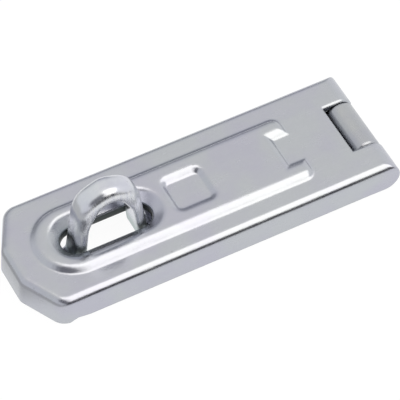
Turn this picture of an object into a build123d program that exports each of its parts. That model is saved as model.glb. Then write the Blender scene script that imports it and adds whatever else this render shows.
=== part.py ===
from build123d import *
import os
from math import asin, atan2, cos, degrees, hypot, radians, sin, tan

# Safety hasp, closed over its staple, in millimetres.
# The origin is on the mounting plane, midway along the cover.
# X runs from the free end to the hinge, Y across the cover, Z up from the door.

# Cover: pressed sheet with side flanges, a chamfered nose and a rolled hinge end
cover_length = 116.0
cover_width = 39.0
sheet = 2.2
bend_inside = 0.2
skirt_lift = 0.25
ear_reach = 9.5
ear_ramp = 2.3
dip_lift = 0.9
dip_run = 4.0
nose_flat = 12.8
nose_run = 6.9
nose_draft = 3.0
nose_corner = 5.0
nose_blend = 4.0

# Raised panel of the cover
panel_rise = 1.4
panel_slope = 40.0
panel_toe = 1.2
panel_round = 3.2
hollow_round = 2.6
panel_width = 24.6
panel_nose_margin = 7.9
panel_hinge_margin = 18.75
panel_corner = 3.2
prong_corner = 3.0
fork_width = 10.2
fork_depth = 5.2
fork_corner = 1.8

# Square pad left at the level of the flat sheet
pad_slot_margin = 7.05
pad_length = 10.3
pad_width = 9.9
pad_corner = 1.2

# Slot for the staple, with a dished rim
slot_tip_margin = 8.5
slot_length = 28.4
slot_width = 9.4
slot_break = 0.3
dish_depth = 2.5
dish_slope = 36.0

# Hinge
pin_diameter = 5.2
cover_play = 0.05
leaf_play = 0.08
door_clearance = 0.1
knuckle_width = 17.2
knuckle_gap = 0.25
rim_depth = 0.35
rim_width = 0.6
notch_relief = 5.4
skirt_break = 0.4
curl_stop = 165.0
pin_end_gap = 0.1
pin_chamfer = 0.5

# Hinge leaf under the cover
leaf_sheet = 1.9
leaf_side_play = 1.3
leaf_plate_gap = 5.5
leaf_corner = 4.0
leaf_shoulder = 4.95
leaf_rise_run = 6.0
leaf_curl_stop = 208.0
leaf_hole_margin_x = 9.3
leaf_hole_margin_y = 6.5

# Staple plate under the cover, with the loop raised from its middle
plate_thickness = 3.5
plate_length = 47.0
plate_side_play = 2.3
plate_corner = 5.0
window_margin = 1.95
window_width = 18.0
window_corner = 3.0
plate_hole_margin_x = 4.5
plate_hole_margin_y = 5.5

# Staple loop
strap_side_play = 0.7
loop_end_play = 2.05
loop_height = 28.6
loop_side_lean = 7.5
loop_crown_fall = 23.2
shoulder_side_margin = 3.35
crown_side_margin = 4.85
loop_root = 1.5
crown_thickness = 4.2
throat_side_margin = 7.45
throat_crown_lean = 28.0
throat_shoulder = 7.9
throat_bend = 12.0
throat_side_lean = 5.7
strap_outer_round = 2.5
strap_inner_break = 0.4

# Countersunk fixing holes in both plates
fixing_hole = 4.6
countersink = 7.4
countersink_angle = 90.0

# Derived sizes
half_length = cover_length / 2
half_width = cover_width / 2
bend_outside = bend_inside + sheet
pin_radius = pin_diameter / 2
eye_bore = pin_radius + cover_play
eye_radius = eye_bore + sheet
axis_x = half_length - eye_radius
axis_z = eye_radius + door_clearance
flat_top = axis_z + eye_radius
flange_inside = half_width - sheet
panel_crest = flat_top + panel_rise
slot_rim = panel_crest - dish_depth
panel_half = panel_width / 2
panel_tip = panel_nose_margin - half_length
panel_centre = panel_tip + panel_half
panel_end = axis_x - panel_hinge_margin
fork_x = panel_end - fork_depth
slot_place = panel_tip + slot_tip_margin + slot_length / 2
pad_place = slot_place + slot_length / 2 + pad_slot_margin + pad_length / 2
notch_x = axis_x - notch_relief
knuckle_half = knuckle_width / 2
gap_half = knuckle_half + knuckle_gap
staple_place = slot_place
strap_width = slot_width - 2 * strap_side_play
loop_foot = slot_length - 2 * loop_end_play
window_length = loop_foot + 2 * window_margin
throat_height = loop_height - crown_thickness
loop_shoulder = loop_foot / 2 - shoulder_side_margin
loop_crown = loop_foot / 2 - crown_side_margin
throat_crown = loop_foot / 2 - throat_side_margin
throat_break = throat_height - throat_shoulder
plate_width = 2 * (flange_inside - plate_side_play)
leaf_bore = pin_radius + leaf_play
leaf_eye = leaf_bore + leaf_sheet
leaf_start = staple_place + plate_length / 2 + leaf_plate_gap
leaf_end = axis_x - leaf_shoulder
leaf_length = leaf_end - leaf_start
leaf_width = 2 * (flange_inside - leaf_side_play)
hair = 0.001


def at_level(edge_list, level):
    """Edges that lie flat at one height."""
    flat_edges = edge_list.filter_by_position(Axis.Z, level - hair, level + hair)
    return flat_edges.filter_by(lambda edge: abs(edge.bounding_box().size.Z) < hair)


def panel_outline(shift):
    """Foot of the raised panel, round at the nose end and forked at the hinge end."""
    with BuildSketch() as outline:
        with BuildLine():
            Polyline(
                (panel_centre, -panel_half),
                (panel_end, -panel_half),
                (panel_end, -fork_width / 2),
                (fork_x, -fork_width / 2),
                (fork_x, fork_width / 2),
                (panel_end, fork_width / 2),
                (panel_end, panel_half),
                (panel_centre, panel_half),
            )
            CenterArc((panel_centre, 0), panel_half, 90, 180)
        make_face()
        tips = outline.vertices().group_by(Axis.X)[-1].sort_by(Axis.Y)
        roots = outline.vertices().filter_by(lambda v: abs(v.X - fork_x) < hair)
        fillet((tips[0], tips[-1]), panel_corner)
        fillet(tips[1:-1], prong_corner)
        fillet(roots, fork_corner)
        if shift:
            offset(amount=-shift)
    return outline.sketch


def pad_outline(shift):
    """Foot of the square pad."""
    with BuildSketch() as outline:
        with Locations((pad_place, 0)):
            RectangleRounded(pad_length + 2 * shift, pad_width + 2 * shift, pad_corner + shift)
    return outline.sketch


def slot_outline():
    """The staple's slot."""
    with BuildSketch() as outline:
        with Locations((slot_place, 0)):
            SlotOverall(slot_length, slot_width)
    return outline.sketch


def sloped(outline, foot, rise, lean):
    """Solid on an outline at one height, with walls that lean in by an angle, or out where it is negative."""
    base = Plane.XY.offset(foot)
    with BuildPart() as block:
        with BuildSketch(base):
            add(outline)
        extrude(amount=rise)
        draft(upright(block.faces()), base, lean)
    return block.part


def upright(face_list):
    """Faces that stand square to the door."""
    return face_list.filter_by(lambda face: abs(face.normal_at().Z) < hair)


def posts(form, least):
    """Corner edges of the nose that run from the skirt to the top, the most outward last."""
    tall = form.edges().filter_by(lambda edge: edge.bounding_box().size.Z > least)
    nose = tall.filter_by(lambda edge: edge.center().X < nose_run - half_length + least)
    return nose.sort_by(lambda edge: abs(edge.center().Y))


def pressed_form(inset):
    """The cover's outside form for inset 0, or the hollow under the sheet for inset = sheet."""
    level = flat_top - inset
    crest = panel_crest - inset
    shift = inset * tan(radians(panel_slope) / 2)
    right = half_length + 2 * inset
    dish_floor = slot_rim - inset / cos(radians(dish_slope))
    with BuildPart() as form:
        with BuildSketch():
            with BuildLine():
                Polyline(
                    (right, half_width),
                    (nose_run - half_length, half_width),
                    (-half_length, nose_flat / 2),
                    (-half_length, -nose_flat / 2),
                    (nose_run - half_length, -half_width),
                    (right, -half_width),
                    close=True,
                )
            make_face()
            if inset:
                offset(amount=-inset, kind=Kind.INTERSECTION)
        extrude(amount=level)
        leaning = upright(form.faces()).filter_by(lambda face: face.normal_at().X < -hair)
        draft(leaning, Plane.XY, nose_draft)
        fillet(posts(form, level / 2)[:2], nose_blend - inset)
        fillet(posts(form, level / 2)[-2:], nose_corner - inset)
        fillet(at_level(form.edges(), level).sort_by(Axis.X)[:-1], bend_outside - inset)
        add(sloped(panel_outline(shift), level, panel_rise, 90 - panel_slope))
        fillet(at_level(form.edges(), crest), panel_round - inset)
        add(sloped(pad_outline(shift), level, panel_rise, panel_slope - 90), mode=Mode.SUBTRACT)
        fillet(at_level(form.edges(Select.LAST), crest), hollow_round - inset)
        dish = sloped(slot_outline(), dish_floor, crest - dish_floor, dish_slope - 90)
        add(dish, mode=Mode.SUBTRACT)
        fillet(at_level(form.edges(Select.LAST), crest), hollow_round - inset)
        foot = at_level(form.edges(), level).filter_by(lambda edge: within_panel(edge.bounding_box()))
        fillet(foot, panel_toe + inset)
    return form.part


def within_panel(box):
    """Whether an edge belongs to the panel, and not to the bends round the sheet."""
    reach = panel_half + hair
    return box.max.Y < reach and box.min.Y > -reach and box.max.X < panel_end + hair


def lies_on(edge, line):
    """Whether an edge of the strap follows one line of its side view."""
    middle = edge @ 0.5
    return line.distance_to(Vertex(middle.X, middle.Z, 0)) < hair


def end_wall(form, place):
    """Flat end face of a knuckle, at one place across the cover."""
    return form.faces().filter_by(Axis.Y).filter_by(lambda face: abs(face.center().Y - place) < hair)[0]


def on_outside(edge):
    """Whether an edge lies on the outer face of the flat sheet or of its roll."""
    middle = edge @ 0.5
    if middle.X < axis_x:
        return middle.Z > flat_top - hair
    return abs(hypot(middle.X - axis_x, middle.Z - axis_z) - eye_radius) < hair


def on_skirt(edge):
    """Whether an edge runs along the outer foot of the flanges and the nose, or round a flange's end."""
    middle = edge @ 0.5
    if middle.X > axis_x:
        return edge.geom_type == GeomType.CIRCLE and abs(middle.Y) > half_width - hair
    box = edge.bounding_box()
    if box.max.Z > dip_lift + hair:
        return False
    if middle.X < sheet / 2 - half_length:
        return True
    run = max(nose_run - half_length - middle.X, 0)
    side = half_width - run * (half_width - nose_flat / 2) / nose_run
    return box.size.X > hair and abs(middle.Y) > side - sheet / 2


def tangent_angle(x, z, radius):
    """Slope, in radians, of the line from a point that touches a circle about the pin on its underside."""
    run = axis_x - x
    rise = axis_z - z
    return atan2(rise, run) - asin(radius / hypot(run, rise))


def curl(bore, thickness, start, sweep):
    """Outline of a rolled eye about the hinge axis, from one radial end to the other."""
    centre = (axis_x, axis_z)
    outer = CenterArc(centre, bore + thickness, start, sweep)
    inner = CenterArc(centre, bore, start, sweep)
    Line(outer @ 1, inner @ 1)
    return outer @ 0, inner @ 0


outside = pressed_form(0)
hollow = pressed_form(sheet)

with BuildPart() as hasp_cover:
    add(outside)
    add(hollow, mode=Mode.SUBTRACT)
    add(slot_outline())
    extrude(amount=panel_crest, mode=Mode.SUBTRACT)
    chamfer(at_level(hasp_cover.edges(), slot_rim), slot_break)

    # The skirt stops short of the door, except at the nose
    ear_x = ear_reach - half_length
    with BuildSketch(Plane.XZ):
        with BuildLine():
            Polyline(
                (ear_x, 0),
                (ear_x + ear_ramp, dip_lift),
                (ear_x + ear_ramp + dip_run, skirt_lift),
                (notch_x, skirt_lift),
                (axis_x, door_clearance),
                (half_length, door_clearance),
                (half_length, 0),
                close=True,
            )
        make_face()
    extrude(amount=half_width, both=True, mode=Mode.SUBTRACT)

    # Flange ends, round about the pin
    with BuildSketch(Plane.XZ):
        with Locations((axis_x, 0)):
            Rectangle(eye_radius, flat_top, align=Align.MIN)
        with Locations((axis_x, axis_z)):
            Circle(eye_radius, mode=Mode.SUBTRACT)
    extrude(amount=half_width, both=True, mode=Mode.SUBTRACT)

    # Sheet rolled down round the pin, between the flanges
    with BuildSketch(Plane.XZ):
        with Locations((axis_x, 0)):
            Rectangle(eye_radius, flat_top, align=Align.MIN)
    extrude(amount=flange_inside, both=True, mode=Mode.SUBTRACT)
    with BuildSketch(Plane.XZ):
        with BuildLine():
            outer_start, inner_start = curl(eye_bore, sheet, 90, -(360 - curl_stop + 90))
            Line(inner_start, outer_start)
        make_face()
    extrude(amount=flange_inside, both=True)

    fillet(hasp_cover.edges().filter_by(on_skirt), skirt_break)

    # Notch for the leaf's knuckle
    with BuildSketch():
        with Locations((notch_x, 0)):
            Rectangle(half_length, 2 * gap_half, align=(Align.MIN, Align.CENTER))
    extrude(amount=panel_crest, mode=Mode.SUBTRACT)
    for place in (-gap_half, gap_half):
        wall = end_wall(hasp_cover, place)
        chamfer(wall.edges().filter_by(on_outside), rim_depth, rim_width, reference=wall)

hasp_cover.part.label = "hasp_cover"

# Fixed leaf: a flat plate whose middle strip is rolled up round the pin
with BuildPart() as hinge_leaf:
    with BuildSketch() as leaf_plan:
        with Locations((leaf_start, 0)):
            Rectangle(leaf_length, leaf_width, align=(Align.MIN, Align.CENTER))
        fillet(leaf_plan.vertices(), leaf_corner)
    extrude(amount=leaf_sheet)
    bend_x = axis_x - leaf_rise_run
    rise = tangent_angle(bend_x, 0, leaf_eye)
    curl_from = degrees(rise) - 90
    with BuildSketch(Plane.XZ):
        with BuildLine():
            outer_start, inner_start = curl(leaf_bore, leaf_sheet, curl_from, leaf_curl_stop - curl_from)
            bend_top = inner_start.X - (inner_start.Y - leaf_sheet) / tan(rise)
            Polyline(
                inner_start,
                (bend_top, leaf_sheet),
                (bend_x - leaf_corner, leaf_sheet),
                (bend_x - leaf_corner, 0),
                (bend_x, 0),
                outer_start,
            )
        make_face()
    extrude(amount=knuckle_half, both=True)
    for place in (-knuckle_half, knuckle_half):
        wall = end_wall(hinge_leaf, place)
        rims = wall.edges().filter_by(GeomType.CIRCLE).sort_by(SortBy.RADIUS)
        chamfer(rims[-1], rim_depth, rim_width, reference=wall)
    leaf_middle = (leaf_start + leaf_end) / 2
    leaf_pitch_x = leaf_length - 2 * leaf_hole_margin_x
    leaf_pitch_y = leaf_width - 2 * leaf_hole_margin_y
    with Locations((leaf_middle, 0, leaf_sheet)):
        with GridLocations(leaf_pitch_x, leaf_pitch_y, 2, 2):
            CounterSinkHole(fixing_hole / 2, countersink / 2, counter_sink_angle=countersink_angle)

hinge_leaf.part.label = "hinge_leaf"

with BuildPart() as hinge_pin:
    with BuildSketch(Plane.XZ):
        with Locations((axis_x, axis_z)):
            Circle(pin_radius)
    extrude(amount=flange_inside - pin_end_gap, both=True)
    chamfer(hinge_pin.edges().filter_by(GeomType.CIRCLE), pin_chamfer)

hinge_pin.part.label = "hinge_pin"

# Staple plate: a loop raised out of its own window
with BuildPart() as loop:
    with BuildSketch(Plane.XZ):
        with BuildLine():
            lean = tan(radians(loop_side_lean))
            fall = tan(radians(loop_crown_fall))
            peak = loop_height + loop_crown * (1 / cos(radians(loop_crown_fall)) - 1)
            foot_half = loop_foot / 2
            shoulder_z = (peak - fall * foot_half - fall * lean * plate_thickness) / (1 - fall * lean)
            shoulder_x = foot_half - lean * (shoulder_z - plate_thickness)
            steep = radians(throat_crown_lean)
            throat_peak = throat_height + throat_crown * (1 / sin(steep) - 1)
            throat_break_half = (throat_peak - throat_break) * tan(steep)
            throat_foot_half = throat_break_half + throat_break * tan(radians(throat_side_lean))
            end = window_length / 2 + strap_width / 2
            upper = FilletPolyline(
                (staple_place - end, plate_thickness),
                (staple_place - foot_half, plate_thickness),
                (staple_place - shoulder_x, shoulder_z),
                (staple_place, peak),
                (staple_place + shoulder_x, shoulder_z),
                (staple_place + foot_half, plate_thickness),
                (staple_place + end, plate_thickness),
                radius=(loop_root, loop_shoulder, loop_crown, loop_shoulder, loop_root),
            )
            underside_root = loop_root + plate_thickness
            lower = FilletPolyline(
                (staple_place - end, 0),
                (staple_place - throat_foot_half, 0),
                (staple_place - throat_break_half, throat_break),
                (staple_place, throat_peak),
                (staple_place + throat_break_half, throat_break),
                (staple_place + throat_foot_half, 0),
                (staple_place + end, 0),
                radius=(underside_root, throat_bend, throat_crown, throat_bend, underside_root),
            )
            Line(upper @ 0, lower @ 0)
            Line(upper @ 1, lower @ 1)
        make_face()
    extrude(amount=strap_width / 2, both=True)
    side_edges = loop.faces().filter_by(Axis.Y).edges()
    fillet(side_edges.filter_by(lambda edge: lies_on(edge, upper)), strap_outer_round)
    side_edges = loop.faces().filter_by(Axis.Y).edges()
    chamfer(side_edges.filter_by(lambda edge: lies_on(edge, lower)), strap_inner_break)

with BuildPart() as staple_plate:
    with BuildSketch() as plate_plan:
        with Locations((staple_place, 0)):
            RectangleRounded(plate_length, plate_width, plate_corner)
            RectangleRounded(window_length, window_width, window_corner, mode=Mode.SUBTRACT)
    extrude(amount=plate_thickness)
    plate_pitch_x = plate_length - 2 * plate_hole_margin_x
    plate_pitch_y = plate_width - 2 * plate_hole_margin_y
    with Locations((staple_place, 0, plate_thickness)):
        with GridLocations(plate_pitch_x, plate_pitch_y, 2, 2):
            CounterSinkHole(fixing_hole / 2, countersink / 2, counter_sink_angle=countersink_angle)
    add(loop.part)

staple_plate.part.label = "staple_plate"

os.makedirs("parts", exist_ok=True)
export_step(hasp_cover.part, "parts/hasp_cover.step")
export_step(hinge_leaf.part, "parts/hinge_leaf.step")
export_step(hinge_pin.part, "parts/hinge_pin.step")
export_step(staple_plate.part, "parts/staple_plate.step")
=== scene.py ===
from math import cos, pi, radians, sin

import bpy
from mathutils import Matrix, Vector

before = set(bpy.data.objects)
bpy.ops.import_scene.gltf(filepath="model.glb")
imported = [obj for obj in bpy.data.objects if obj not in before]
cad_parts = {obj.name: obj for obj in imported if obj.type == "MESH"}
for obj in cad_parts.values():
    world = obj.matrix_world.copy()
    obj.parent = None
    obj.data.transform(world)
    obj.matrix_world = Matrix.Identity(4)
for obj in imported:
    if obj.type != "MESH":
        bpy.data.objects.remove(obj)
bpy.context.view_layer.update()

MM = 0.001
WHITE = (1, 1, 1, 1)

# The viewpoint: its turn and height round the part, its distance in metres, its aim's offset and its tilt
VIEW_AZIMUTH = radians(-28.045)
VIEW_ELEVATION = radians(52.349)
VIEW_DISTANCE = 0.87692
AIM_RIGHT = 2.376 * MM
AIM_UP = 3.062 * MM
VIEW_ROLL = radians(0.2765)
IMAGE_PIXELS = 400
FOCAL_PIXELS = 3036.3
SENSOR = 36.0
NEAREST = 0.01
FURTHEST = 100

# The floor, in metres
FLOOR_RADIUS = 6.0
FLOOR_CORNERS = 96
FLOOR_COLOR = (0.07, 0.07, 0.07, 1)
FLOOR_GLOW = 0.95

# Where the floor that the metal mirrors grows darker: out in front of the part, and beside its free end
FRONT_DARK_FROM = -0.10
FRONT_DARK_TO = -0.28
FRONT_DARK_SHARE = 0.1
END_DARK_FROM = -0.056
END_DARK_TO = -0.066
END_DARK_SHARE = 0.55

# The softbox overhead: its place and aim in metres, its size and its strength in watts
LAMP_PLACE = (0.36, -0.40, 0.8)
LAMP_AIM = (0.36, -0.40, 0)
LAMP_SIZE = (1.08, 1.22)
LAMP_WATTS = 4.7
LAMP_TINT = (1.0, 0.97, 0.91)

# The sky's shade by its angle in degrees, from the front horizon over the top to the back one
SKY_FRONT_TO_BACK = (
    (0, (0.05, 0.05, 0.06)),
    (29, (0.06, 0.06, 0.07)),
    (39, (1.00, 0.98, 0.93)),
    (105, (1.00, 0.98, 0.94)),
    (125, (0.96, 0.955, 0.94)),
    (148, (0.80, 0.81, 0.83)),
    (164, (0.44, 0.45, 0.48)),
    (180, (0.36, 0.37, 0.40)),
)
HALF_TURN = 180

# The pale sides of the sky, and how far to each side they begin and are whole
SKY_LEFT = (0.86, 0.87, 0.89, 1)
SKY_LEFT_FROM = -0.2
SKY_LEFT_TO = -0.6
SKY_RIGHT = WHITE
SKY_RIGHT_FROM = 0.45
SKY_RIGHT_TO = 0.8

# A round dark patch fixed high in the front of the sky, with its direction and how its edge softens
PATCH_SHADE = (0.20, 0.20, 0.22, 1)
PATCH_TOWARDS = (-0.34, -0.52, 0.78)
PATCH_EDGE = 0.84
PATCH_CORE = 0.93

# The zinc's clouds and flecks
CLOUD_BAND = (0.34, 0.66)
FLECK_SCALE = 1.4

# The rolled grain's long waves and dull stretches
WAVE_SCALE = 0.22
WAVE_HEIGHT = 2.5
DULL_SCALE = 0.35
DULL_BAND = (0.3, 0.75)

# Rubbed edges: how far a normal turns, the patches that stay unrubbed, and the rays per sample
RUBBED_TURN = (0.01, 0.12)
UNRUBBED_SCALE = 0.9
UNRUBBED_BAND = (0.3, 0.6)
RUBBED_RAYS = 6
ROUNDED_RAYS = 10

# Hair scratches: each set's turn in radians and its fineness lengthwise, then what all the sets share
SCRATCH_SETS = ((0.35, 0.045), (-1.1, 0.06), (1.9, 0.05))
SCRATCH_TIP_X = 0.2
SCRATCH_TIP_Y = 0.3
SCRATCH_FINE_ACROSS = 1.1
SCRATCH_FINE_UP = 0.5
SCRATCH_HALF_WIDTH = 0.006
SCRATCH_GATE_SCALE = 0.45
SCRATCH_GATE_STEP = 0.1
SCRATCH_GATE = (0.56, 0.66)

# Dull specks: how closely they lie, their soft edge, and the share of places that have none
SPECK_SCALE = 0.2
SPECK_EDGE = (0.02, 0.06)
SPECK_NONE = 0.72

# What marks and rubbing do to the plate's roughness and height
SCRATCH_DULLS = 0.10
RUBBING_POLISHES = -0.05
SCRATCH_HEIGHT = -0.3

# The cover's slot, in millimetres: its centre, how far its walls reach from it, and how far they lean;
# then the near-black painted shade on its walls, and how much rougher they are where sheared
SLOT_CENTRE = (-27.4, 0, 0)
SLOT_REACH = (14.6, 5.0)
WALL_LEAN = (0.55, 0.30)
SLOT_WALL_PAINTED_SHADE = (0.05, 0.058, 0.058, 1)
SHEARED_DULLS = 0.2

# The feet of the staple's legs, heights in millimetres: painted shade there, darker and greener where they
# stand under the cover, and a rougher finish
PLATE_TOP = 3.6
FEET_SHADE_AND_DULL_FROM = 5.0
FEET_SHADE_AND_DULL_TO = 13.0
FEET_PAINTED_SHADE = (0.50, 0.58, 0.57, 1)
FEET_PAINTED_SHADE_SHARE = 0.9
LEG_DULLS = 0.3

# The streaks down the staple's sheared sides, in millimetres
STREAK_SPACING = 0.7
STREAK_LENGTH = 9.0
STREAK_BAND = (0.40, 0.62)
STREAK_COLOR = (0.80, 0.81, 0.82, 1)
STREAK_SHARE = 0.7
STREAK_DULLS = 0.08
STREAK_HEIGHT = 0.8
SIDE_FACING = (0.6, 0.9)

# The plate on each piece: cloud and grain sizes in millimetres, edge widths and relief in metres
COVER_PLATE = {
    "cloud": 16.0,
    "violet": (0.477, 0.481, 0.548, 1),
    "green": (0.492, 0.511, 0.540, 1),
    "mottle": 0.06,
    "grain_length": 2.6,
    "grain_width": 0.7,
    "wear_width": 0.35 * MM,
    "rounding": 0.9 * MM,
    "patchiness": 0.5,
    "scratches": 0.12,
    "specks": 0.8,
    "wear_share": 0.3,
    "bare": (0.60, 0.61, 0.63, 1),
    "speck_color": (0.30, 0.31, 0.33, 1),
    "roughness": 0.22,
    "dull_rise": 0.06,
    "relief": 0.02 * MM,
}
LEAF_PLATE = {
    **COVER_PLATE,
    "cloud": 11.0,
    "violet": (0.43, 0.44, 0.48, 1),
    "green": (0.46, 0.475, 0.485, 1),
    "grain_length": 0.8,
    "grain_width": 2.4,
    "roughness": 0.26,
    "specks": 0.4,
    "relief": 0.006 * MM,
}
PIN_STEEL = {
    **COVER_PLATE,
    "cloud": 6.0,
    "violet": (0.42, 0.42, 0.44, 1),
    "green": (0.45, 0.45, 0.45, 1),
    "grain_length": 0.25,
    "grain_width": 6.0,
    "specks": 0.2,
}
STAPLE_PLATE = {
    **COVER_PLATE,
    "cloud": 9.0,
    "violet": (0.60, 0.61, 0.68, 1),
    "green": (0.66, 0.68, 0.71, 1),
    "mottle": 0.08,
    "grain_length": 2.4,
    "grain_width": 1.2,
    "rounding": 2.0 * MM,
    "wear_share": 0.1,
    "roughness": 0.20,
    "dull_rise": 0.05,
    "relief": 0.012 * MM,
}


def towards(azimuth, elevation):
    """Unit vector from the part to a point seen round it and above it."""
    flat = cos(elevation)
    return Vector((sin(azimuth) * flat, -cos(azimuth) * flat, sin(elevation)))


def add_node(tree, kind, inputs=None, **settings):
    """A node with its settings, and its inputs joined to sockets or set to values."""
    node = tree.nodes.new(kind)
    for name, value in settings.items():
        setattr(node, name, value)
    for name, value in (inputs or {}).items():
        if isinstance(value, bpy.types.NodeSocket):
            tree.links.new(value, node.inputs[name])
        else:
            node.inputs[name].default_value = value
    return node


def math_node(tree, operation, first, second=0.0, third=0.0, clamp=False):
    """The result of one Math node."""
    inputs = {0: first, 1: second, 2: third}
    return add_node(tree, "ShaderNodeMath", inputs, operation=operation, use_clamp=clamp).outputs[0]


def vector_node(tree, operation, inputs):
    """The outputs of one Vector Math node."""
    return add_node(tree, "ShaderNodeVectorMath", inputs, operation=operation).outputs


def soft_step(tree, value, start, end, low=0.0, high=1.0):
    """A value led smoothly from low to high between a start and an end."""
    inputs = {"Value": value, "From Min": start, "From Max": end, "To Min": low, "To Max": high}
    return add_node(tree, "ShaderNodeMapRange", inputs, interpolation_type="SMOOTHSTEP").outputs[0]


def mixed_color(tree, share, first, second):
    """Two colours mixed by a share of the second."""
    return add_node(tree, "ShaderNodeMix", {0: share, 6: first, 7: second}, data_type="RGBA").outputs[2]


def noise(tree, place, scale=1.0, detail=2.0, roughness=0.5):
    """Soft noise from 0 to 1 at a place."""
    inputs = {"Vector": place, "Scale": scale, "Detail": detail, "Roughness": roughness}
    return add_node(tree, "ShaderNodeTexNoise", inputs).outputs[0]


def three_parts(tree, vector):
    """The X, Y and Z of a vector."""
    return add_node(tree, "ShaderNodeSeparateXYZ", {0: vector}).outputs


def drawn_out(tree, place, along, across, up):
    """Places divided by a size along each axis, which draws a pattern out along the longest."""
    parts = three_parts(tree, place)
    sizes = (along, across, up)
    shrunk = [math_node(tree, "DIVIDE", part, size) for part, size in zip(parts, sizes)]
    return add_node(tree, "ShaderNodeCombineXYZ", {0: shrunk[0], 1: shrunk[1], 2: shrunk[2]}).outputs[0]


def new_group(name, inputs, outputs):
    """A shader group with named sockets: its tree, what it is given, and what it puts out."""
    tree = bpy.data.node_groups.new(name, "ShaderNodeTree")
    for label, kind, value in inputs:
        socket = tree.interface.new_socket(label, in_out="INPUT", socket_type="NodeSocket" + kind)
        if value is not None:
            socket.default_value = value
    for label, kind in outputs:
        tree.interface.new_socket(label, in_out="OUTPUT", socket_type="NodeSocket" + kind)
    return tree, tree.nodes.new("NodeGroupInput").outputs, tree.nodes.new("NodeGroupOutput").inputs


def place_group(tree, group, inputs):
    """The outputs of a group placed in a material with its own values."""
    return add_node(tree, "ShaderNodeGroup", inputs, node_tree=group).outputs


def zinc_bloom_group():
    """Soft clouds between a violet and a greenish grey, as zinc plate has."""
    tree, given, result = new_group(
        "zinc_bloom",
        [
            ("Place", "Vector", None),
            ("Cloud size", "Float", 14.0),
            ("Violet grey", "Color", (0.52, 0.53, 0.58, 1)),
            ("Green grey", "Color", (0.54, 0.56, 0.56, 1)),
            ("Mottle", "Float", 0.03),
        ],
        [("Color", "Color")],
    )
    scaled = vector_node(tree, "DIVIDE", {0: given["Place"], 1: given["Cloud size"]})[0]
    cloud = soft_step(tree, noise(tree, scaled, detail=3.0, roughness=0.55), *CLOUD_BAND)
    fleck = noise(tree, given["Place"], FLECK_SCALE, roughness=0.6)
    spread = math_node(tree, "MULTIPLY", math_node(tree, "SUBTRACT", fleck, 0.5), given["Mottle"])
    light = math_node(tree, "ADD", spread, 1.0)
    color = mixed_color(tree, cloud, given["Violet grey"], given["Green grey"])
    bright = vector_node(tree, "SCALE", {0: color, "Scale": light})[0]
    tree.links.new(bright, result["Color"])
    return tree


def rolled_grain_group():
    """The fine drawn-out grain of cold-rolled sheet under its plate."""
    tree, given, result = new_group(
        "rolled_grain",
        [("Place", "Vector", None), ("Length", "Float", 3.0), ("Width", "Float", 0.5)],
        [("Height", "Float"), ("Dullness", "Float")],
    )
    drawn = drawn_out(tree, given["Place"], given["Length"], given["Width"], given["Width"])
    grain = noise(tree, drawn)
    waves = noise(tree, given["Place"], WAVE_SCALE, detail=1.0, roughness=0.4)
    height = math_node(tree, "MULTIPLY_ADD", waves, WAVE_HEIGHT, grain)
    tree.links.new(height, result["Height"])
    dull = noise(tree, drawn, DULL_SCALE, detail=3.0, roughness=0.6)
    tree.links.new(soft_step(tree, dull, *DULL_BAND), result["Dullness"])
    return tree


def edge_wear_group():
    """Where the plate is rubbed bright along outside edges, broken up by handling."""
    tree, given, result = new_group(
        "edge_wear",
        [
            ("Place", "Vector", None),
            ("Width", "Float", 0.0004),
            ("Rounding", "Float", 0.001),
            ("Patchiness", "Float", 0.5),
        ],
        [("Mask", "Float"), ("Normal", "Vector")],
    )
    narrow = {"Radius": given["Width"]}
    rubbed = add_node(tree, "ShaderNodeBevel", narrow, samples=RUBBED_RAYS).outputs[0]
    wide = {"Radius": given["Rounding"]}
    rounded = add_node(tree, "ShaderNodeBevel", wide, samples=ROUNDED_RAYS).outputs[0]
    faces = add_node(tree, "ShaderNodeNewGeometry").outputs["Normal"]
    match = vector_node(tree, "DOT_PRODUCT", {0: rubbed, 1: faces})["Value"]
    turned = soft_step(tree, math_node(tree, "SUBTRACT", 1.0, match), *RUBBED_TURN)
    patches = noise(tree, given["Place"], UNRUBBED_SCALE, detail=3.0, roughness=0.6)
    broken = soft_step(tree, patches, *UNRUBBED_BAND)
    kept = math_node(tree, "SUBTRACT", 1.0, math_node(tree, "MULTIPLY", broken, given["Patchiness"]))
    tree.links.new(math_node(tree, "MULTIPLY", turned, kept), result["Mask"])
    tree.links.new(rounded, result["Normal"])
    return tree


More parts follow.
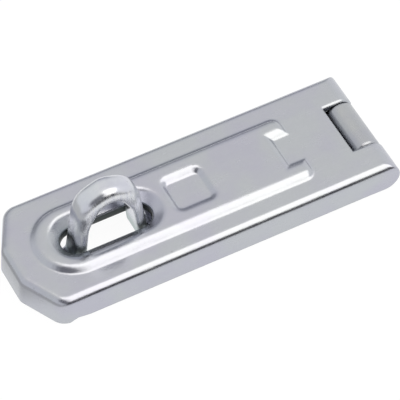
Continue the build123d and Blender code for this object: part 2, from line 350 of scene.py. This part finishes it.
def handling_marks_group():
    """Sparse hair scratches and small dull specks from the bulk bin."""
    tree, given, result = new_group(
        "handling_marks",
        [("Place", "Vector", None), ("Scratches", "Float", 0.5), ("Specks", "Float", 0.5)],
        [("Scratch", "Float"), ("Speck", "Float")],
    )
    lines = None
    for number, (turn, fineness) in enumerate(SCRATCH_SETS):
        tip = (SCRATCH_TIP_X * number, SCRATCH_TIP_Y * number, turn)
        sizes = (fineness, SCRATCH_FINE_ACROSS, SCRATCH_FINE_UP)
        inputs = {"Vector": given["Place"], "Rotation": tip, "Scale": sizes}
        turned = add_node(tree, "ShaderNodeMapping", inputs).outputs[0]
        off_line = math_node(tree, "ABSOLUTE", math_node(tree, "SUBTRACT", noise(tree, turned), 0.5))
        line = soft_step(tree, off_line, 0.0, SCRATCH_HALF_WIDTH, 1.0, 0.0)
        gate_scale = SCRATCH_GATE_SCALE + SCRATCH_GATE_STEP * number
        gate = soft_step(tree, noise(tree, turned, gate_scale, detail=1.0), *SCRATCH_GATE)
        line = math_node(tree, "MULTIPLY", line, gate)
        lines = line if lines is None else math_node(tree, "MAXIMUM", lines, line)
    tree.links.new(math_node(tree, "MULTIPLY", lines, given["Scratches"]), result["Scratch"])
    inputs = {"Vector": given["Place"], "Scale": SPECK_SCALE}
    cells = add_node(tree, "ShaderNodeTexVoronoi", inputs, feature="F1").outputs
    near = soft_step(tree, cells["Distance"], *SPECK_EDGE, 1.0, 0.0)
    chance = add_node(tree, "ShaderNodeSeparateColor", {0: cells["Color"]}).outputs[0]
    near = math_node(tree, "MULTIPLY", near, math_node(tree, "GREATER_THAN", chance, SPECK_NONE))
    tree.links.new(math_node(tree, "MULTIPLY", near, given["Specks"]), result["Speck"])
    return tree


def shear_streaks_group():
    """Short upright streaks that a press leaves down a sheared edge."""
    tree, given, result = new_group(
        "shear_streaks",
        [("Place", "Vector", None), ("Spacing", "Float", 0.4), ("Length", "Float", 5.0)],
        [("Streak", "Float")],
    )
    drawn = drawn_out(tree, given["Place"], given["Spacing"], given["Length"], given["Length"])
    tree.links.new(soft_step(tree, noise(tree, drawn, roughness=0.6), *STREAK_BAND), result["Streak"])
    return tree


def millimetres(tree):
    """Places on the piece in millimetres, which move with it."""
    place = add_node(tree, "ShaderNodeTexCoord").outputs["Object"]
    return vector_node(tree, "SCALE", {0: place, "Scale": 1 / MM})[0]


def normal_part(tree, axis):
    """How far the surface's normal points along one axis of the piece."""
    return three_parts(tree, add_node(tree, "ShaderNodeTexCoord").outputs["Normal"])[axis]


def new_metal(name):
    """A new metal material, its tree, its shader and its places in millimetres."""
    made = bpy.data.materials.new(name)
    made.use_nodes = True
    tree = made.node_tree
    shader = tree.nodes["Principled BSDF"]
    shader.inputs["Metallic"].default_value = 1.0
    return made, tree, shader, millimetres(tree)


def plated(tree, place, groups, values):
    """The colour, roughness, height and normal of plate over rolled steel, with rubbed edges and marks."""
    bloom = place_group(tree, groups["bloom"], {
        "Place": place,
        "Cloud size": values["cloud"],
        "Violet grey": values["violet"],
        "Green grey": values["green"],
        "Mottle": values["mottle"],
    })
    grain = place_group(tree, groups["grain"], {
        "Place": place,
        "Length": values["grain_length"],
        "Width": values["grain_width"],
    })
    wear = place_group(tree, groups["wear"], {
        "Place": place,
        "Width": values["wear_width"],
        "Rounding": values["rounding"],
        "Patchiness": values["patchiness"],
    })
    marks = place_group(tree, groups["marks"], {
        "Place": place,
        "Scratches": values["scratches"],
        "Specks": values["specks"],
    })
    rubbed = math_node(tree, "MULTIPLY", wear["Mask"], values["wear_share"])
    color = mixed_color(tree, rubbed, bloom["Color"], values["bare"])
    color = mixed_color(tree, marks["Speck"], color, values["speck_color"])
    rough = math_node(tree, "MULTIPLY_ADD", grain["Dullness"], values["dull_rise"], values["roughness"])
    rough = math_node(tree, "MULTIPLY_ADD", marks["Scratch"], SCRATCH_DULLS, rough)
    rough = math_node(tree, "MULTIPLY_ADD", wear["Mask"], RUBBING_POLISHES, rough)
    height = math_node(tree, "MULTIPLY_ADD", marks["Scratch"], SCRATCH_HEIGHT, grain["Height"])
    return color, rough, height, wear["Normal"]


def finish_shader(tree, shader, color, rough, height, normal, relief):
    """The shader's colour, roughness and normal joined up."""
    bump = add_node(tree, "ShaderNodeBump", {"Distance": relief, "Height": height, "Normal": normal})
    tree.links.new(color, shader.inputs["Base Color"])
    tree.links.new(rough, shader.inputs["Roughness"])
    tree.links.new(bump.outputs[0], shader.inputs["Normal"])


def slot_wall(tree, place):
    """A mask of the sheared wall of the cover's slot."""
    off_centre = vector_node(tree, "SUBTRACT", {0: place, 1: SLOT_CENTRE})[0]
    apart = three_parts(tree, vector_node(tree, "ABSOLUTE", {0: off_centre})[0])
    in_length = math_node(tree, "LESS_THAN", apart[0], SLOT_REACH[0])
    in_width = math_node(tree, "LESS_THAN", apart[1], SLOT_REACH[1])
    inside = math_node(tree, "MULTIPLY", in_length, in_width)
    upright = soft_step(tree, normal_part(tree, 2), *WALL_LEAN)
    return math_node(tree, "MULTIPLY", inside, upright)


def leg_feet(tree, place):
    """A mask of the feet of the staple's legs, where they stand in the slot and take painted shade."""
    height = three_parts(tree, place)[2]
    low = soft_step(tree, height, FEET_SHADE_AND_DULL_TO, FEET_SHADE_AND_DULL_FROM)
    above_plate = soft_step(tree, height, PLATE_TOP, FEET_SHADE_AND_DULL_FROM)
    return math_node(tree, "MULTIPLY", low, above_plate)


def sheared_sides(tree):
    """A mask of the faces that look squarely to either side."""
    return soft_step(tree, math_node(tree, "ABSOLUTE", normal_part(tree, 1)), *SIDE_FACING)


def finish_plain(name, groups, values):
    """Plate or drawn steel with nothing on it but what all the pieces share."""
    made, tree, shader, place = new_metal(name)
    color, rough, height, normal = plated(tree, place, groups, values)
    finish_shader(tree, shader, color, rough, height, normal, values["relief"])
    return made


def finish_cover(groups):
    """Bright zinc plate on the pressed cover, with near-black painted shade on its slot's wall, which is
    also rougher where it was sheared.
    """
    made, tree, shader, place = new_metal("cover_zinc_plate")
    color, rough, height, normal = plated(tree, place, groups, COVER_PLATE)
    wall = slot_wall(tree, place)
    # The slot's wall is painted near black as shade, and made rougher where sheared
    color = mixed_color(tree, wall, color, SLOT_WALL_PAINTED_SHADE)
    rough = math_node(tree, "MULTIPLY_ADD", wall, SHEARED_DULLS, rough)
    finish_shader(tree, shader, color, rough, height, normal, COVER_PLATE["relief"])
    return made


def finish_staple(groups):
    """Zinc plate on the staple, with upright streaks down its sheared sides, and painted shade on its
    legs' feet under the cover, which are also rougher.
    """
    made, tree, shader, place = new_metal("staple_zinc_plate")
    color, rough, height, normal = plated(tree, place, groups, STAPLE_PLATE)
    inputs = {"Place": place, "Spacing": STREAK_SPACING, "Length": STREAK_LENGTH}
    streaks = place_group(tree, groups["streaks"], inputs)
    streak = math_node(tree, "MULTIPLY", streaks["Streak"], sheared_sides(tree))
    color = mixed_color(tree, math_node(tree, "MULTIPLY", streak, STREAK_SHARE), color, STREAK_COLOR)
    rough = math_node(tree, "MULTIPLY_ADD", streak, STREAK_DULLS, rough)
    height = math_node(tree, "MULTIPLY_ADD", streak, STREAK_HEIGHT, height)
    # The legs' feet are painted darker and greener as shade under the cover, and made rougher
    feet = math_node(tree, "MULTIPLY", leg_feet(tree, place), FEET_PAINTED_SHADE_SHARE)
    color = mixed_color(tree, feet, color, FEET_PAINTED_SHADE)
    rough = math_node(tree, "MULTIPLY_ADD", feet, LEG_DULLS, rough)
    finish_shader(tree, shader, color, rough, height, normal, STAPLE_PLATE["relief"])
    return made


def dress(name, made):
    """One material put on one node of the part."""
    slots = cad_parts[name].data.materials
    slots.clear()
    slots.append(made)


def mirrored_floor(tree):
    """How much of the floor's white the metal mirrors at each place on it."""
    place = three_parts(tree, add_node(tree, "ShaderNodeTexCoord").outputs["Object"])
    front = soft_step(tree, place["Y"], FRONT_DARK_FROM, FRONT_DARK_TO, 1.0, FRONT_DARK_SHARE)
    end = soft_step(tree, place["X"], END_DARK_FROM, END_DARK_TO, 1.0, END_DARK_SHARE)
    return math_node(tree, "MULTIPLY", front, end)


def make_floor():
    """A pale floor that keeps the part's shadow, and shows white in the picture and in the metal."""
    bpy.ops.mesh.primitive_circle_add(vertices=FLOOR_CORNERS, radius=FLOOR_RADIUS, fill_type="NGON")
    floor = bpy.context.object
    floor.name = "studio_floor"
    made = bpy.data.materials.new("floor_white")
    made.use_nodes = True
    tree = made.node_tree
    tree.nodes.clear()
    path = add_node(tree, "ShaderNodeLightPath").outputs
    in_metal = math_node(tree, "MULTIPLY", path["Is Glossy Ray"], mirrored_floor(tree))
    seen = math_node(tree, "ADD", path["Is Camera Ray"], in_metal)
    seen = math_node(tree, "ADD", seen, path["Is Transmission Ray"], clamp=True)
    diffuse = add_node(tree, "ShaderNodeBsdfDiffuse", {"Color": FLOOR_COLOR}).outputs[0]
    strength = math_node(tree, "MULTIPLY", seen, FLOOR_GLOW)
    glow = add_node(tree, "ShaderNodeEmission", {"Strength": strength}).outputs[0]
    both = add_node(tree, "ShaderNodeAddShader", {0: diffuse, 1: glow}).outputs[0]
    add_node(tree, "ShaderNodeOutputMaterial", {"Surface": both})
    floor.data.materials.append(made)


def make_sky():
    """A soft sky for the metal to mirror, dark low in front and pale overhead, and white where seen."""
    world = bpy.data.worlds.new("studio_sky")
    bpy.context.scene.world = world
    world.use_nodes = True
    tree = world.node_tree
    tree.nodes.clear()
    direction = add_node(tree, "ShaderNodeTexCoord").outputs["Generated"]
    parts = three_parts(tree, direction)
    forward = math_node(tree, "MULTIPLY", parts["Y"], -1.0)
    over = math_node(tree, "DIVIDE", math_node(tree, "ARCTAN2", parts["Z"], forward), pi)
    ramp = add_node(tree, "ShaderNodeValToRGB", {0: over})
    stops = ramp.color_ramp.elements
    while len(stops) < len(SKY_FRONT_TO_BACK):
        stops.new(1.0)
    for stop, (angle, color) in zip(stops, SKY_FRONT_TO_BACK):
        stop.position = angle / HALF_TURN
        stop.color = (*color, 1)
    left = soft_step(tree, parts["X"], SKY_LEFT_TO, SKY_LEFT_FROM, 1.0, 0.0)
    shade = mixed_color(tree, left, ramp.outputs[0], SKY_LEFT)
    right = soft_step(tree, parts["X"], SKY_RIGHT_FROM, SKY_RIGHT_TO)
    shade = mixed_color(tree, right, shade, SKY_RIGHT)
    patch = Vector(PATCH_TOWARDS).normalized()
    near = vector_node(tree, "DOT_PRODUCT", {0: direction, 1: patch})["Value"]
    shade = mixed_color(tree, soft_step(tree, near, PATCH_EDGE, PATCH_CORE), shade, PATCH_SHADE)
    path = add_node(tree, "ShaderNodeLightPath").outputs
    seen = math_node(tree, "ADD", path["Is Camera Ray"], path["Is Transmission Ray"], clamp=True)
    shade = mixed_color(tree, seen, shade, WHITE)
    sky = add_node(tree, "ShaderNodeBackground", {"Color": shade, "Strength": 1.0}).outputs[0]
    add_node(tree, "ShaderNodeOutputWorld", {"Surface": sky})


def make_lamp():
    """The soft area lamp overhead, unseen by the camera."""
    data = bpy.data.lights.new("softbox", "AREA")
    data.shape = "RECTANGLE"
    data.size = LAMP_SIZE[0]
    data.size_y = LAMP_SIZE[1]
    data.energy = LAMP_WATTS
    data.color = LAMP_TINT
    lamp = bpy.data.objects.new("softbox", data)
    bpy.context.scene.collection.objects.link(lamp)
    lamp.location = LAMP_PLACE
    lamp.rotation_mode = "QUATERNION"
    lamp.rotation_quaternion = (Vector(LAMP_AIM) - Vector(LAMP_PLACE)).to_track_quat("-Z", "Y")
    lamp.visible_camera = False


def make_camera():
    """The camera of the picture."""
    back = towards(VIEW_AZIMUTH, VIEW_ELEVATION)
    level = Vector((cos(VIEW_AZIMUTH), sin(VIEW_AZIMUTH), 0))
    upright = back.cross(level)
    right = level * cos(VIEW_ROLL) + upright * sin(VIEW_ROLL)
    up = back.cross(right)
    data = bpy.data.cameras.new("camera")
    data.sensor_width = SENSOR
    data.lens = FOCAL_PIXELS / IMAGE_PIXELS * SENSOR
    data.clip_start = NEAREST
    data.clip_end = FURTHEST
    camera = bpy.data.objects.new("camera", data)
    bpy.context.scene.collection.objects.link(camera)
    camera.location = back * VIEW_DISTANCE + right * AIM_RIGHT + up * AIM_UP
    camera.rotation_mode = "QUATERNION"
    camera.rotation_quaternion = Matrix((right, up, back)).transposed().to_quaternion()
    bpy.context.scene.camera = camera


groups = {
    "bloom": zinc_bloom_group(),
    "grain": rolled_grain_group(),
    "wear": edge_wear_group(),
    "marks": handling_marks_group(),
    "streaks": shear_streaks_group(),
}
dress("hasp_cover", finish_cover(groups))
dress("hinge_leaf", finish_plain("leaf_zinc_plate", groups, LEAF_PLATE))
dress("hinge_pin", finish_plain("pin_drawn_steel", groups, PIN_STEEL))
dress("staple_plate", finish_staple(groups))

make_floor()
make_sky()
make_camera()
make_lamp()
bpy.context.scene.view_settings.view_transform = "Standard"
